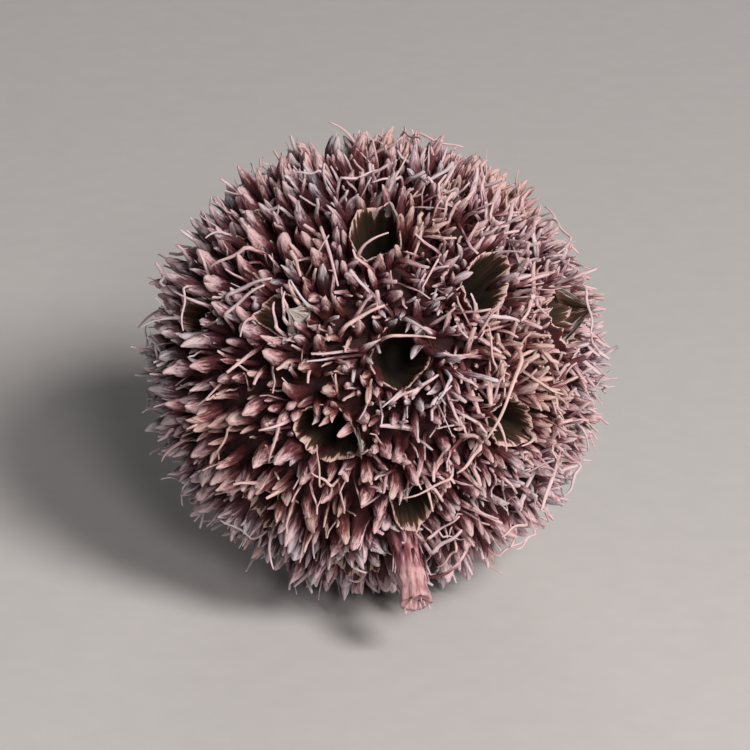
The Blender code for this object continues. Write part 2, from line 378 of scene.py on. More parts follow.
def all_capsules():
    """The solid's capsules, those listed first."""
    draw = random.Random(CAPSULE_SEED)
    capsules = []
    for i, out in enumerate(spread_capsules()):
        turn = draw.uniform(0, 180)
        half_length = draw.uniform(*HALF_LENGTH)
        half_width = draw.uniform(*HALF_WIDTH)
        if draw.random() < SHUT_SHARE:
            half_width = SHUT_HALF_WIDTH
        if i < len(FRONT_OPENINGS):
            turn, half_length, half_width = FRONT_OPENINGS[i][2:]
        capsules.append(Capsule(out, turn, half_length, half_width))
    return capsules


def beak_path(capsule, end, draw):
    """The three points of the solid's beak at one end of an opening."""
    length = draw.uniform(*BEAK_LENGTH)
    bend = math.radians(draw.uniform(*BEAK_BEND))
    heading = Quaternion(capsule.out, draw.uniform(0, math.tau)) @ capsule.long
    axle = capsule.out.cross(heading)
    point = capsule.at((capsule.half_length + LIP_WIDTH) * end, 0, LIP_RADIUS - ROOT_DEPTH)
    path = [point]
    for i in range(BEAK_STEPS):
        ahead = Quaternion(axle, bend * i / (BEAK_STEPS - 1)) @ capsule.out
        point = point + ahead * (length + ROOT_DEPTH) / BEAK_STEPS
        if (point - CENTRE).length > BEAK_REACH:
            point = CENTRE + (point - CENTRE).normalized() * BEAK_REACH
        path.append(point)
    # The solid draws the beak's turn too, and the draws stay in step
    draw.uniform(0, math.tau)
    return path


def spine_places(capsules):
    """Directions of the solid's spines."""
    places = list(spiral(SPINE_PLACES))
    random.Random(SPINE_SEED).shuffle(places)
    least = SPINE_GAP / HEAD_RADIUS
    round_stalk = (STALK_RADII[0] + SPINE_CLEARANCE) / HEAD_RADIUS
    round_foot = (FOOT_RADII[0] + SPINE_CLEARANCE) / HEAD_RADIUS
    standing = [direction(*at) for at in STANDING_AT]
    taken = list(standing)
    for place in places:
        if place.angle(direction(*STALK_AT)) < round_stalk or place.angle(DOWN) < round_foot:
            continue
        if any(capsule.holds(place, LIP_WIDTH + SPINE_CLEARANCE) for capsule in capsules):
            continue
        if all((place - other).length > least for other in taken):
            taken.append(place)
    return taken[len(standing) :]


def kept_up(root, tip):
    """The tip, drawn back along its spine as far as it takes to clear the surface."""
    if tip.z >= TIP_CLEARANCE:
        return tip
    return root + (tip - root) * ((root.z - TIP_CLEARANCE) / (root.z - tip.z))


def spine_ends(out, draw):
    """Root and tip of the solid's spine at a place."""
    axle = Vector([draw.gauss(0, 1) for _ in range(3)]).cross(out).normalized()
    lean = Quaternion(axle, math.radians(draw.uniform(0, SPINE_LEAN)))
    length = draw.uniform(*SPINE_REACH) - HEAD_RADIUS + ROOT_DEPTH
    root = CENTRE + out * (HEAD_RADIUS - ROOT_DEPTH)
    # The solid draws the spine's radius and turn too, and the draws stay in step
    draw.uniform(*SPINE_RADIUS)
    draw.uniform(0, math.tau)
    return root, kept_up(root, root + lean @ out * length)


def coarseness(out):
    """From 0 where the spines are slimmest to 1 where they are stoutest."""
    level = (0.9 - out.dot(direction(*FINE_SIDE))) / 0.6 + 0.35 * noise.noise(out * 3.1)
    return min(1.0, max(0.0, level))


def warmth(out, capsules, draw):
    """The hue of what grows at a place: 0 is bleached grey, 0.5 is pink, and 1 is straw."""
    # The term along WARM_SIDE is partly painted light: straw towards the lit upper right, grey towards the
    # shaded side; the noise, the bleaching and the draw are the wood's own.
    level = 0.36 + 0.3 * out.dot(direction(*WARM_SIDE)) + 0.8 * noise.noise(out * 2.3 + UP * 9)
    bleached = max(out.dot(capsules[i].out) for i in BLEACHED)
    if bleached > math.cos(BLEACHED_REACH) and draw.random() < 0.6:
        level -= 0.6 * draw.random()
    return min(1.0, max(0.0, level + draw.gauss(0, 0.12)))


def filler_places(capsules, taken, stout_gap, slim_gap):
    """Directions of the slimmer spines that fill the room the main ones leave."""
    places = list(spiral(2 * SPINE_PLACES))
    random.Random(SPINE_SEED + 1).shuffle(places)
    stalk = direction(*STALK_AT)
    standing = np.array([tuple(place) for place in taken] + [(0, 0, 0)] * MOST_FILLERS)
    count = len(taken)
    added = []
    for place in places:
        if place.angle(stalk) * HEAD_RADIUS < STALK_RADII[0] + FILLER_CLEARANCE:
            continue
        if place.angle(DOWN) * HEAD_RADIUS < FOOT_RADII[0] + FILLER_CLEARANCE:
            continue
        gap = slim_gap + (stout_gap - slim_gap) * coarseness(place)
        if np.linalg.norm(standing[:count] - np.array(place), axis=1).min() * HEAD_RADIUS < gap:
            continue
        if any(capsule.holds(place, LIP_WIDTH + 0.05 * MM) for capsule in capsules):
            continue
        standing[count] = place
        count += 1
        added.append(place)
    return added


def tip_along(root, way, reach, out):
    """The tip of a spine that gets reach mm from the centre, or less far where spines stayed short."""
    return kept_up(root, root + way * (reach * MM - HEAD_RADIUS + ROOT_DEPTH) * shortened(out))


def shortened(out):
    """The share of its length that a spine keeps."""
    share = 1.0
    for at, reach in SHORT_SPOTS:
        distance = out.angle(direction(*at)) * HEAD_RADIUS
        share = min(share, SHORTEST_SHARE + max(0.0, distance - reach) / SHORTENING)
    return share


def combed(out):
    """The way the spines and bristles of a place have been swept, along the surface."""
    swirl = Vector([noise.noise(out * 1.7 + Vector(shift)) for shift in COMBING_SHIFTS])
    swirl += Vector((0.35, 0, -0.3)) * (1 - coarseness(out))
    return swirl - out * swirl.dot(out)


def parted(out, capsules):
    """The push, along the surface, that the nearest capsule gives what grows at a place."""
    capsule = max(capsules, key=lambda c: c.out.dot(out))
    away = out - capsule.out * out.dot(capsule.out)
    distance = away.length * HEAD_RADIUS - (capsule.half_length + capsule.half_width) / 2
    strength = min(1.0, max(0.0, 1.25 - distance / (1.3 * MM)))
    if capsule.half_width == SHUT_HALF_WIDTH:
        strength *= 0.4
    return away.normalized() * strength


def strand_rings(paths, radii, sides, flat, ridges, crumple, knots, draw):
    """The points round each strand as (strands, rings, sides, 3), their place across it, and its tips."""
    count, rings = radii.shape
    ahead = np.gradient(paths, axis=1)
    ahead /= np.linalg.norm(ahead, axis=2, keepdims=True)
    aside = draw.normal(size=(count, 1, 3))
    across = aside - ahead * (aside * ahead).sum(axis=2, keepdims=True)
    across /= np.linalg.norm(across, axis=2, keepdims=True)
    third = np.cross(ahead, across)
    angles = np.arange(sides) * math.tau / sides
    phase = draw.uniform(0, math.tau, (2, count, 1))
    twist = draw.normal(0, 1.2, (count, 1)) * np.linspace(0, 1, rings)
    turned = angles + twist[..., None]
    three, four = (np.cos(lobes * turned + phase[lobes - 3][:, None]) for lobes in (3, 4))
    section = radii[:, :, None] * (1 + ridges * (0.5 * three + 0.5 * four))
    section = section * (1 + crumple * draw.normal(size=(count, rings, sides)))
    section *= 1 + knots * draw.normal(size=(count, rings, 1))
    places = np.stack([np.cos(angles) * section, np.sin(angles) * section], axis=-1)
    points = paths[:, :, None, :] + across[:, :, None, :] * places[..., :1]
    points = points + third[:, :, None, :] * (places[..., 1] * flat)[..., None]
    tips = paths[:, -1] + ahead[:, -1] * radii[:, -1:] * 0.4
    return points, places, tips


def strand_faces(count, rings, sides):
    """The faces of closed strands whose corners are their rings, from the root on, and then their tip."""
    per_strand = rings * sides + 1
    side = np.arange(sides)
    after = (side + 1) % sides
    ring = np.arange(rings - 1)[:, None] * sides
    quads = np.stack([ring + side, ring + after, ring + sides + after, ring + sides + side], axis=-1)
    last = (rings - 1) * sides
    ends = np.stack([last + side, last + after, np.full(sides, rings * sides)], axis=-1)
    starts = np.arange(count) * per_strand
    faces = (quads.reshape(-1, 4)[None] + starts[:, None, None]).reshape(-1, 4).tolist()
    faces += (ends[None] + starts[:, None, None]).reshape(-1, 3).tolist()
    faces += (side[::-1][None] + starts[:, None]).tolist()
    return faces


def strands(
    name, paths, radii, sides, looks, material, flat=0.85, ridges=0.1, crumple=0.05, knots=0.05, seed=0
):
    """Closed tapered strands as one object, rooted at the start of their paths.

    paths is (strands, rings, 3) and radii (strands, rings), in metres; looks holds a (tone, warmth) for each.
    The points get four attributes: along, from 0 at the root to 1 at the tip; tone and warmth; and grain, a
    place in millimetres stretched along the strand, for its fibres.
    """
    count, rings = radii.shape
    draw = np.random.default_rng(seed)
    points, places, tips = strand_rings(paths, radii, sides, flat, ridges, crumple, knots, draw)
    corners = np.concatenate([points.reshape(count, rings * sides, 3), tips[:, None]], axis=1)
    corners[..., 2] = np.maximum(corners[..., 2], 0)
    per_strand = rings * sides + 1

    steps = np.linalg.norm(np.diff(paths, axis=1), axis=2)
    travelled = np.concatenate([np.zeros((count, 1)), np.cumsum(steps, axis=1)], axis=1)
    share = travelled / travelled[:, -1:]
    along = np.concatenate([np.repeat(share, sides, axis=1), np.ones((count, 1))], axis=1)
    grain = np.zeros((count, per_strand, 3))
    grain[:, :-1, :2] = places.reshape(count, -1, 2) / MM
    grain[:, :-1, 2] = np.repeat(travelled, sides, axis=1) / MM / GRAIN_STRETCH
    # Each strand has its own stretch of the pattern
    grain[:, :-1, 2] += np.arange(count)[:, None] * 3.7
    grain[:, -1] = grain[:, -2]

    mesh = bpy.data.meshes.new(name)
    mesh.from_pydata(corners.reshape(-1, 3).tolist(), [], strand_faces(count, rings, sides))
    looks = np.array(looks)
    add_attribute(mesh, "along", "FLOAT", "value", along)
    add_attribute(mesh, "tone", "FLOAT", "value", np.repeat(looks[:, 0], per_strand))
    add_attribute(mesh, "warmth", "FLOAT", "value", np.repeat(looks[:, 1], per_strand))
    add_attribute(mesh, "grain", "FLOAT_VECTOR", "vector", grain)
    new_piece(name, mesh, material)


def add_attribute(mesh, name, kind, field, values):
    made = mesh.attributes.new(name, kind, "POINT")
    made.data.foreach_set(field, np.asarray(values, np.float32).ravel())


def finished_mesh(name, shape):
    mesh = bpy.data.meshes.new(name)
    shape.to_mesh(mesh)
    shape.free()
    return mesh


def new_valves(name, corners, faces, depths, grains, material):
    """Ends valves as a piece. Depth runs from -1 outside through 0 at the edge to 1 down inside."""
    mesh = bpy.data.meshes.new(name)
    mesh.from_pydata(corners, [], faces)
    add_attribute(mesh, "depth", "FLOAT", "value", depths)
    add_attribute(mesh, "grain", "FLOAT_VECTOR", "vector", grains)
    new_piece(name, mesh, material)


def new_piece(name, mesh, material):
    """Ends a mesh as a smooth piece that rides on the ball."""
    mesh.shade_smooth()
    mesh.materials.append(material)
    piece = bpy.data.objects.new(name, mesh)
    bpy.context.scene.collection.objects.link(piece)
    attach(piece, "root")
    return piece


def add_node(tree, kind, inputs=None, stops=(), **settings):
    """Adds a node; each of its inputs is a socket to link or a value, and stops fill a colour ramp."""
    made = tree.nodes.new(kind)
    for name, value in settings.items():
        setattr(made, name, value)
    for name, value in (inputs or {}).items():
        if isinstance(value, bpy.types.NodeSocket):
            tree.links.new(value, made.inputs[name])
        else:
            made.inputs[name].default_value = value
    for i, (place, colour) in enumerate(stops):
        ramp = made.color_ramp.elements
        stop = ramp[i] if i < len(ramp) else ramp.new(place)
        stop.position = place
        stop.color = colour
    return made


def darkened(colour, share):
    return [c * share for c in colour[:3]] + [1.0]


def new_material(name):
    """A material, its node tree, and its shader."""
    material = bpy.data.materials.new(name)
    material.use_nodes = True
    return material, material.node_tree, material.node_tree.nodes["Principled BSDF"]


def finish_material(tree, shader, colour, height, depth, roughness):
    """Links colour to the shader, and height, as relief that deep in metres, to its normal."""
    relief = add_node(tree, "ShaderNodeBump", {"Height": height, "Distance": depth, "Strength": 1.0})
    tree.links.new(colour, shader.inputs["Base Color"])
    tree.links.new(relief.outputs[0], shader.inputs["Normal"])
    shader.inputs["Roughness"].default_value = roughness


def fibrous_wood(name, colours, paleness, spacing, depth, roughness):
    """Dried spine wood and fibre: darkened towards the roots as painted shade in the gaps, pale and chalky at
    the ends, partly as painted light, fibrous along.
    """
    material, tree, shader = new_material(name)
    along, tone, hue = (
        add_node(tree, "ShaderNodeAttribute", attribute_name=part).outputs["Fac"]
        for part in ("along", "tone", "warmth")
    )
    grain = add_node(tree, "ShaderNodeAttribute", attribute_name="grain").outputs["Vector"]
    # The grain's unit is a millimetre, and a noise at scale 1 has about one streak to each
    fibres = {"Vector": grain, "Scale": 1 / spacing, "Detail": 4.0, "Roughness": 0.62}
    fibres = add_node(tree, "ShaderNodeTexNoise", fibres).outputs["Fac"]
    # Share along the strand: low near the root gives the painted shade of the gaps, high at the end gives the
    # pale tip, partly painted light; fibres and tone are the wood's own.
    level = along
    for part, weight in ((fibres, 1.05), (tone, 0.3)):
        terms = {0: part, 1: weight, 2: level}
        level = add_node(tree, "ShaderNodeMath", terms, operation="MULTIPLY_ADD").outputs[0]
    level = add_node(tree, "ShaderNodeMath", {0: level, 1: paleness - 0.67}, operation="ADD").outputs[0]
    colour = colours.root
    bodies = (colours.grey_body, colours.pink_body, colours.straw_body)
    ends = (colours.grey_tip, colours.pink_tip, colours.straw_tip)
    for hues, low, high in ((bodies, 0.4, 0.82), (ends, 0.65, 0.92)):
        paler = add_node(tree, "ShaderNodeValToRGB", {"Fac": hue}, zip((0.0, 0.5, 1.0), hues)).outputs[0]
        share = {"Value": level, "From Min": low, "From Max": high}
        share = add_node(tree, "ShaderNodeMapRange", share).outputs[0]
        mix = {0: share, 6: colour, 7: paler}
        colour = add_node(tree, "ShaderNodeMix", mix, data_type="RGBA").outputs[2]
    finish_material(tree, shader, colour, fibres, depth, roughness)
    return material


def spine_wood(colours):
    """The spines' own wood: blunt, rubbed ends and fibres about 0.2 mm apart."""
    return fibrous_wood("dried_spine_wood", colours, 0.0, 0.2, 0.22 * MM, 0.72)


def bristle_fibre(colours):
    """Bristles: paler from the root on than the spines, with fibres about 0.12 mm apart."""
    return fibrous_wood("dried_bristle_fibre", colours, 0.16, 0.12, 0.08 * MM, 0.65)


def style_fibre(colours):
    """Styles and shed threads: bleached nearly all along, with fibres about 0.1 mm apart."""
    return fibrous_wood("bleached_style_fibre", colours, 0.5, 0.1, 0.05 * MM, 0.6)


def valve_material(name, edge, colours):
    """Capsule valves: parchment-pale along the split edge, near black outside as painted shade among the
    spines, smooth dark olive brown inside, darkening further down as painted shade.
    """
    material, tree, shader = new_material(name)
    depth = add_node(tree, "ShaderNodeAttribute", attribute_name="depth").outputs["Fac"]
    grain = add_node(tree, "ShaderNodeAttribute", attribute_name="grain").outputs["Vector"]
    # Streaks about 0.2 mm apart
    streaks = {"Vector": grain, "Scale": 3.0, "Detail": 4.0}
    streaks = add_node(tree, "ShaderNodeTexNoise", streaks).outputs["Fac"]
    level = add_node(tree, "ShaderNodeMath", {0: streaks, 1: depth}, operation="ADD").outputs[0]
    level = add_node(tree, "ShaderNodeMapRange", {"Value": level, "From Min": -0.5, "From Max": 1.5})
    # Outside under the edge, the head and root colours are painted shade among the spines; inside, the cavity
    # colour darkening to a third of it further down is painted shade deepening into the socket.
    stops = (
        (0.1, colours.head),
        (0.42, colours.root),
        (0.46, edge),
        (0.535, edge),
        (0.56, colours.membrane),
        (0.64, colours.cavity),
        (0.85, darkened(colours.cavity, 0.3)),
    )
    colour = add_node(tree, "ShaderNodeValToRGB", {"Fac": level.outputs[0]}, stops)
    shader.inputs["Specular IOR Level"].default_value = 0.3
    finish_material(tree, shader, colour.outputs[0], streaks, 0.05 * MM, 0.7)
    return material


def head_material(colours):
    """The pithy head seen between the spines: dark reddish brown made very dark as painted shade in the gaps,
    rough and crumbly.
    """
    material, tree, shader = new_material("dark_pith")
    place = add_node(tree, "ShaderNodeTexCoord").outputs["Object"]
    # Crumbs about 0.4 mm across
    crumbs = {"Vector": place, "Scale": 2400.0, "Detail": 3.0}
    crumbs = add_node(tree, "ShaderNodeTexNoise", crumbs).outputs["Fac"]
    stops = ((0.35, colours.head), (0.95, colours.root))
    colour = add_node(tree, "ShaderNodeValToRGB", {"Fac": crumbs}, stops)
    finish_material(tree, shader, colour.outputs[0], crumbs, 0.15 * MM, 0.9)
    return material


def stalk_material(colours):
    """Stalk bark: pinkish brown, ribbed along, paler on the ribs and where it broke."""
    material, tree, shader = new_material("stalk_bark")
    along = add_node(tree, "ShaderNodeAttribute", attribute_name="along").outputs["Fac"]
    grain = add_node(tree, "ShaderNodeAttribute", attribute_name="grain").outputs["Vector"]
    # Ribs about 0.3 mm apart
    ribs = {"Vector": grain, "Scale": 3.5, "Detail": 4.0}
    ribs = add_node(tree, "ShaderNodeTexNoise", ribs).outputs["Fac"]
    level = add_node(tree, "ShaderNodeMath", {0: along, 1: 0.3, 2: ribs}, operation="MULTIPLY_ADD")
    stops = (
        (0.35, colours.root),
        (0.55, colours.pink_body),
        (0.72, colours.stalk),
        (0.95, colours.pink_tip),
    )
    colour = add_node(tree, "ShaderNodeValToRGB", {"Fac": level.outputs[0]}, stops)
    finish_material(tree, shader, colour.outputs[0], ribs, 0.12 * MM, 0.7)
    return material


def floor_material(colours):
    """Matt painted board: plain and pale, with a roller's faint orange peel."""
    material, tree, shader = new_material("matt_painted_board")
    place = add_node(tree, "ShaderNodeTexCoord").outputs["Object"]
    # Orange peel about 2 mm across
    peel = {"Vector": place, "Scale": 500.0, "Detail": 2.0}
    peel = add_node(tree, "ShaderNodeTexNoise", peel).outputs["Fac"]
    stops = ((0.3, darkened(colours.floor, 0.97)), (0.7, colours.floor))
    colour = add_node(tree, "ShaderNodeValToRGB", {"Fac": peel}, stops)
    finish_material(tree, shader, colour.outputs[0], peel, 0.01 * MM, 0.85)
    return material


def build_head(colours):
    """The woody head, pushed in under each capsule so that the capsules' own walls show there."""
    capsules = all_capsules()
    shape = bmesh.new()
    bmesh.ops.create_icosphere(shape, subdivisions=7, radius=1)
    for corner in shape.verts:
        out = corner.co.normalized()
        radius = HEAD_RADIUS + 0.12 * MM * noise.fractal(out * 14, 1.0, 2.0, 3)
        if any(capsule.holds(out, LIP_WIDTH * 0.8) for capsule in capsules):
            radius = HEAD_RADIUS - CAVITY_DEPTH
        corner.co = CENTRE + out * radius
    piece = new_piece("head", finished_mesh("head", shape), head_material(colours))
    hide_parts("seed_ball")


def capsule_rings(capsule, sizes, draw, lowered):
    """The capsule's wall as rings, from under it, over the lip and down inside.

    Each is (margins, share, distances out from the ball's centre, depth), with a margin and a distance for
    each of its corners.
    """
    count = RIM_CORNERS
    angles = [math.tau * k / count for k in range(count)]
    phases = [draw.uniform(0, math.tau) for _ in range(5)]
    gape = draw.uniform(0.02, 0.2) * MM
    tilt = draw.uniform(-0.18, 0.18)
    crest, wander = [], []
    for a in angles:
        ragged = 0.16 * math.sin(4 * a + phases[0]) + 0.12 * math.sin(9 * a + phases[1])
        ragged += 0.1 * math.sin(17 * a + phases[2]) + draw.gauss(0, 0.06) + tilt * math.sin(a)
        crest.append(LIP_RADIUS + (0.35 * abs(math.cos(a)) ** 3 + ragged - 0.3 - lowered) * MM)
        wander.append(0.13 * MM * math.sin(2 * a + phases[3]) + 0.07 * MM * math.sin(5 * a + phases[4]))
    flare = [gape * abs(math.sin(a)) for a in angles]
    below = [c - 0.3 * MM for c in crest]
    floor = LIP_RADIUS - CAVITY_DEPTH
    rings = [
        ([0.0] * count, CAVITY_FLOOR * 0.9, [floor - 0.3 * MM] * count, -1.0),
        ([0.3 * MM] * count, 0.72, [(floor + HEAD_RADIUS) / 2 - 0.2 * MM] * count, -0.95),
        ([LIP_WIDTH + RIM_FOOT + w for w in wander], 1.0, [HEAD_RADIUS - ROOT_DEPTH] * count, -0.9),
        ([LIP_WIDTH + 0.2 * MM + w for w in wander], 1.0, [HEAD_RADIUS] * count, -0.7),
        ([LIP_WIDTH + 0.08 * MM + w for w in wander], 1.0, [HEAD_RADIUS + 0.35 * MM] * count, -0.5),
        ([LIP_SHIFT + 0.14 * MM + w + f for w, f in zip(wander, flare)], 1.0, below, -0.42),
        ([LIP_SHIFT + sizes.lip + w + f for w, f in zip(wander, flare)], 1.0, crest, -0.05),
        ([LIP_SHIFT + w + f for w, f in zip(wander, flare)], 1.0, [c - 0.02 * MM for c in crest], 0.05),
        ([LIP_SHIFT + w for w in wander], 1.0, below, 0.15),
    ]
    for i in range(1, CAVITY_STEPS + 1):
        down = i / CAVITY_STEPS
        share = 1 - (1 - CAVITY_FLOOR) * down**1.7
        heights = [b * (1 - down) + floor * down for b in below]
        rings.append(([(LIP_SHIFT + w) * (1 - down) for w in wander], share, heights, 0.15 + 0.8 * down))
    return angles, rings


def build_capsules(sizes, colours):
    """The capsules' walls: a thin raised lip of two valves round each opening, and the deep smooth socket."""
    draw = random.Random(CAPSULE_SEED + 1)
    corners, faces, depths, grains = [], [], [], []
    for number, capsule in enumerate(all_capsules()):
        pointedness = draw.uniform(*LIP_POINTEDNESS)
        lowered = OVERHUNG.get(number, 0) * LIP_LOWERING
        angles, rings = capsule_rings(capsule, sizes, draw, lowered)
        count = len(angles)
        start = len(corners)
        for margins, share, heights, depth in rings:
            for angle, margin, height in zip(angles, margins, heights):
                along, across = capsule.outline(angle, margin, pointedness)
                corners.append(capsule.at(along * share, across * share, height))
                depths.append(depth)
                grains.append((3 * math.cos(angle), 3 * math.sin(angle), depth * 0.8 + number * 3.1))
        for r in range(len(rings) - 1):
            for k in range(count):
                here, there = start + r * count + k, start + r * count + (k + 1) % count
                faces.append((here, there, there + count, here + count))
        last = start + (len(rings) - 1) * count
        faces.append([start + count - 1 - k for k in range(count)])
        faces.append([last + k for k in range(count)])
    parchment = valve_material("capsule_parchment", colours.valve, colours)
    new_valves("capsules", corners, faces, depths, grains, parchment)


def blade_faces(start, rows, columns):
    """The faces of a thin sheet that has rows by columns corners on its inner side, and then on its outer."""
    faces = []
    for face in range(2):
        for r in range(rows - 1):
            for c in range(columns - 1):
                a = start + (face * rows + r) * columns + c
                quad = (a, a + 1, a + columns + 1, a + columns)
                faces.append(quad if face else quad[::-1])
    rim = [r * columns for r in range(rows)] + [(rows - 1) * columns + c for c in range(1, columns)]
    rim += [r * columns + columns - 1 for r in range(rows - 2, -1, -1)] + list(range(columns - 2, 0, -1))
    for here, there in zip(rim, rim[1:] + rim[:1]):
        here, there = start + here, start + there
        faces.append((here, there, there + rows * columns, here + rows * columns))
    return faces


def build_valve_blades(sizes, colours):
    """Valves that stayed up: a folded papery blade from one side of an opening, drawn to a point over it."""
    draw = random.Random(CAPSULE_SEED + 2)
    rows, columns = 9, 13
    corners, faces, grains, depths = [], [], [], []
    for number, capsule in enumerate(all_capsules()):
        middle, spread = draw.choice((0.5, 1.5)) * math.pi + draw.gauss(0, 0.3), draw.uniform(0.6, 0.95)
        height, lean = draw.uniform(0.9, 1.5) * MM, draw.uniform(0.1, 0.55)
        phase = draw.uniform(0, math.tau)
        brown = 0.0
        if number in STANDING_VALVES:
            middle, spread, height, lean, brown = STANDING_VALVES[number]
            height *= MM
        elif number < len(FRONT_OPENINGS) or number % 3 != 1:
            continue
        start = len(corners)
        top_along, top_across = (part * (1 - lean) for part in capsule.outline(middle, 0, RIM_POINTEDNESS))
        for face in (-1, 1):
            for r in range(rows):
                t = r / (rows - 1)
                narrow = (1 - t) ** 0.75
                for c in range(columns):
                    u = 2 * c / (columns - 1) - 1
                    angle = middle + u * spread * narrow
                    along, across = capsule.outline(angle, LIP_SHIFT + 0.04 * MM, RIM_POINTEDNESS)
                    along += (top_along - along) * t**1.5
                    across += (top_across - across) * t**1.5
                    fold = 0.17 * MM * math.cos(u * 9 + phase) * (1 - t)
                    fold += 0.5 * sizes.lip * face * (1.1 - t)
                    scale = 1 + fold / math.hypot(along, across)
                    up = LIP_RADIUS - BLADE_FOOT + (height + BLADE_FOOT) * t
                    corners.append(capsule.at(along * scale, across * scale, up))
                    grains.append((u * 2.2, face, t * 0.5 + number))
                    inside = face < 0 and abs(u) < 0.8 and t < 0.85
                    depths.append(brown if inside else 0.0)
        faces += blade_faces(start, rows, columns)
    weathered = valve_material("weathered_valve", colours.weathered, colours)
    new_valves("valve_blades", corners, faces, depths, grains, weathered)


def curve_through(points, rings):
    """Points along the smooth curve that a start, a middle and an end pull."""
    t = np.linspace(0, 1, rings)[:, None]
    a, b, c = (np.array(point) for point in points)
    return a * (1 - t) ** 2 + b * 2 * t * (1 - t) + c * t**2


def build_beaks(sizes, colours):
    """The dry styles: one from each end of an opening, up and over, thinning to a thread."""
    capsules = all_capsules()
    draw = random.Random(BEAK_SEED)
    vary = random.Random(BEAK_SEED + 1)
    rings = 12
    paths = [curve_through(beak_path(capsule, end, draw), rings) for capsule in capsules for end in (-1, 1)]
    radii = np.tile(sizes.beak * (1 - 0.72 * np.linspace(0, 1, rings) ** 0.7), (len(paths), 1))
    looks = [
        (vary.uniform(0.2, 0.9), warmth(capsule.out, capsules, vary))
        for capsule in capsules
        for _ in range(2)
    ]
    strands("beaks", np.array(paths), radii, 9, looks, style_fibre(colours), flat=0.8, seed=BEAK_SEED)


def bowed_spine(root, tip, coarse, thick, stops, vary):
    """Path and radii of one spine: widest at its root, slightly bowed, its end between a dome and a point."""
    side = (tip - root).cross(Vector([vary.gauss(0, 1) for _ in range(3)])).normalized()
    bow = np.array(side * vary.uniform(0, 0.2 + 0.3 * (1 - coarse)) * MM)
    hook = np.array(side * vary.uniform(-0.5, 0.25) * MM)
    t = stops[:, None]
    path = np.array(root) + np.array(tip - root) * t + bow * 4 * t * (1 - t) + hook * t**4
    path[:, 2] = np.maximum(path[:, 2], TIP_CLEARANCE)
    left = vary.uniform(0.3, 0.52)
    body = left + (1 - left) * (1 - stops) ** vary.uniform(0.75, 1.3)
    point = vary.uniform(0.6, 1.7) * thick / (tip - root).length
    past = np.clip((stops - 1 + point) / point, 0, 1)
    angular = vary.random()
    end = (1 - angular) * np.sqrt(1 - 0.95 * past**2) + angular * (1 - 0.8 * past)
    return path, thick * body * end


def main_spines(sizes, capsules, places, vary):
    """Path, radii and look of each of the solid's spines, and of the four that it rests on."""
    draw = random.Random(SPINE_SEED)
    stops = np.array([0.0, 0.14, 0.26, 0.4, 0.55, 0.68, 0.79, 0.87, 0.93, 0.975, 1.0])
    for out in places:
        root, tip = spine_ends(out, draw)
        coarse = coarseness(out)
        push = parted(out, capsules)
        aside = combed(out) * (1 - 0.8 * coarse) * (1 - 0.7 * min(1, push.length)) * 0.8 + push * 0.45
        aside += Vector([vary.gauss(0, 0.2) for _ in range(3)])
        tip = kept_up(root, root + (tip + (aside - out * aside.dot(out)) * MM - root) * shortened(out))
        thick = sizes.slim_spine + (sizes.stout_spine - sizes.slim_spine) * coarse
        path, radii = bowed_spine(root, tip, coarse, thick * vary.uniform(0.85, 1.12), stops, vary)
        yield path, radii, (vary.uniform(0.2, 1), warmth(out, capsules, vary))
    feet = [((0, -90), FOOT_RADII)] + [(at, STANDING_RADII) for at in STANDING_AT]
    for at, ends in feet:
        out = direction(*at)
        root = CENTRE + out * (HEAD_RADIUS - ROOT_DEPTH)
        tip = root + out * (root.z / -out.z)
        path = np.array(root) + np.array(tip - root) * stops[:, None]
        yield path, np.interp(stops, (0, 1), ends), (0.5, 0.4)


def slim_spines(sizes, capsules, places, vary):
    """Path, radii and look of the slimmer spines: those that fill the gaps, and a row round each opening."""
    stops = np.array([0.0, 0.2, 0.42, 0.62, 0.79, 0.9, 0.965, 1.0])
    slim, stout = sizes.slim_spine, sizes.stout_spine * 0.62
    standing = places + [direction(*at) for at in STANDING_AT]
    for out in filler_places(capsules, standing, sizes.stout_gap, sizes.slim_gap):
        coarse = coarseness(out)
        lean = Vector([vary.gauss(0, 0.16 + 0.14 * (1 - coarse)) for _ in range(3)])
        root = CENTRE + out * (HEAD_RADIUS - ROOT_DEPTH)
        push = parted(out, capsules)
        lean += combed(out) * 0.3 * (1 - coarse) * (1 - 0.7 * min(1, push.length))
        way = (out + lean + push * 0.2).normalized()
        tip = tip_along(root, way, vary.uniform(*FILLER_REACH), out)
        thick = (slim + (stout - slim) * coarse) * vary.uniform(0.7, 1.15)
        path, radii = bowed_spine(root, tip, coarse, thick, stops, vary)
        yield path, radii, (vary.random(), warmth(out, capsules, vary))
    for number, capsule in enumerate(capsules):
        around = vary.randint(*RIM_SPINES)
        for k in range(around):
            angle = math.tau * (k + vary.uniform(-0.3, 0.3)) / around
            margin = LIP_WIDTH + vary.uniform(0.08, 0.7) * MM
            root = capsule.at(*capsule.outline(angle, margin, RIM_POINTEDNESS), HEAD_RADIUS - ROOT_DEPTH)
            out = (root - CENTRE).normalized()
            lean = Vector([vary.gauss(0, 0.14) for _ in range(3)])
            over = OVERHUNG.get(number, 0) if out.z > capsule.out.z else 0
            way = (out + lean + parted(out, capsules) * (vary.uniform(-0.25, 0.2) - over)).normalized()
            tip = tip_along(root, way, vary.uniform(*RIM_REACH), out)
            coarse = coarseness(out)
            thick = slim * vary.uniform(0.75, 1.15) * (1 + 0.35 * coarse)
            path, radii = bowed_spine(root, tip, coarse, thick, stops, vary)
            yield path, radii, (vary.random(), warmth(out, capsules, vary))


